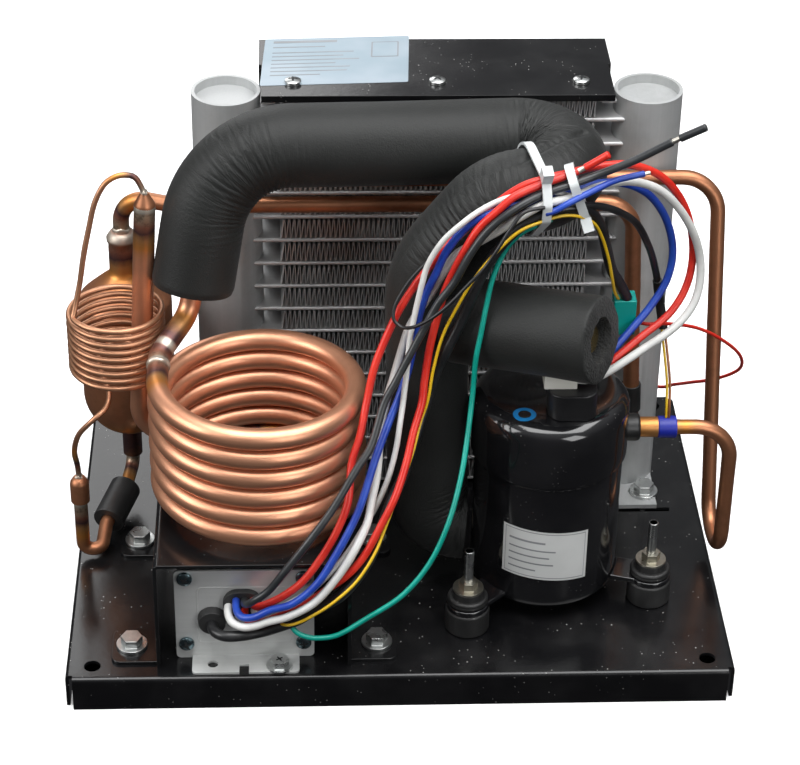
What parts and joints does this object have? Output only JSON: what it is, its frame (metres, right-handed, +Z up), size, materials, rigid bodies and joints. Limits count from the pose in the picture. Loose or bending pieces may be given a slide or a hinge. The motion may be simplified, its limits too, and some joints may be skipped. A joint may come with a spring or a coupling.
{
  "type": "water chiller",
  "caption": "Compact direct-current water chiller module: upright compressor, copper coil evaporator, brazed flat-tube condenser with fan, capillary coil and driver box on a flanged steel tray.",
  "frame": {"origin": "centre of the tray's footprint on the surface that its rim stands on", "axes": "+X from the capillary side to the compressor side, +Y towards the fan, +Z up"},
  "size_m": [0.2928, 0.2105, 0.2458],
  "materials": {
    "pan_paint": "satin powder coat, fine texture",
    "bracket_paint": "glossy black sheet",
    "zinc": "bright zinc plate",
    "controller_black": "black anodised casting",
    "controller_alu": "satin mill sheet",
    "rubber_black": "moulded, matt",
    "compressor_black": "gloss black enamel over drawn steel",
    "plastic_black": "moulded, fine grain",
    "steel": "laminated sheet",
    "iron": "ground",
    "condenser_alu": "brazed, bare",
    "shroud_black": "satin black sheet",
    "guard_wire": "plated wire",
    "copper": "drawn copper tube, light handling tarnish",
    "brass": "turned",
    "sleeve_black": "heat-shrink sleeve",
    "foam": "closed-cell pipe insulation, matt skin",
    "nylon": "natural nylon",
    "connector_teal": "moulded",
    "wire_black": "soft insulation, satin",
    "wire_red": "soft insulation, satin",
    "wire_blue": "soft insulation, satin",
    "wire_white": "soft insulation, satin",
    "wire_yellow": "soft insulation, satin",
    "wire_green": "soft insulation, satin"
  },
  "bodies": {
    "base": {"base_pan": "pan_paint", "coil_bracket": "bracket_paint", "pan_bolts": "zinc", "controller_body": "controller_black", "controller_plate": "controller_alu", "controller_screws": "zinc", "controller_bolt": "zinc", "power_grommet": "rubber_black", "signal_grommet": "rubber_black", "compressor_shell": "compressor_black", "compressor_cap": "compressor_black", "compressor_feet": "compressor_black", "foot_grommets": "rubber_black", "foot_studs": "zinc", "foot_nuts": "zinc", "terminal_cover": "plastic_black", "terminal_plug": "plastic_black", "motor_stator": "steel", "pump_block": "iron", "header_left": "condenser_alu", "header_right": "condenser_alu", "condenser_tubes": "condenser_alu", "condenser_fins": "condenser_alu", "side_plates": "condenser_alu", "fan_shroud": "shroud_black", "shroud_screws": "zinc", "fan_frame": "plastic_black", "fan_guard": "guard_wire", "evaporator_coil": "copper", "evaporator_riser": "copper", "capillary_coil": "copper", "receiver": "copper", "outlet_tube": "copper", "outlet_sleeve": "sleeve_black", "liquid_line": "copper", "liquid_sleeve": "sleeve_black", "discharge_line": "copper", "suction_line": "copper", "suction_foam": "foam", "service_foam": "foam", "service_valve": "brass", "lead_black": "wire_black", "lead_red": "wire_red", "lead_blue": "wire_blue", "motor_red": "wire_red", "motor_blue": "wire_blue", "motor_white": "wire_white", "sense_white": "wire_white", "sense_yellow": "wire_yellow", "earth_wire": "wire_green", "thin_black": "wire_black", "thin_red": "wire_red", "signal_cable": "wire_black", "sensor_cable": "wire_black", "cable_ties": "nylon", "wire_connectors": "connector_teal"},
    "fan": {"fan_rotor": "plastic_black"},
    "rotor": {"motor_rotor": "steel"},
    "piston": {"rolling_piston": "iron"},
    "pin": {"valve_pin": "brass"}
  },
  "joints": [
    {"name": "fan_spin", "type": "hinge", "parent": "base", "child": "fan", "pos_m": [0.0174, 0.06, 0.116], "axis": [0, 1, 0], "continuous": true},
    {"name": "rotor_spin", "type": "hinge", "parent": "base", "child": "rotor", "pos_m": [0.0635, -0.039, 0.05], "axis": [0, 0, 1], "continuous": true},
    {"name": "piston_roll", "type": "hinge", "parent": "rotor", "child": "piston", "pos_m": [0.066, -0.039, 0.034], "axis": [0, 0, 1], "continuous": true},
    {"name": "valve_press", "type": "slide", "parent": "base", "child": "pin", "axis": [-0.8644, 0.4831, -0.1392], "range_m": [0, 0.0012], "stiffness_N_per_m": 1500, "springref_m": -0.002}
  ]
}
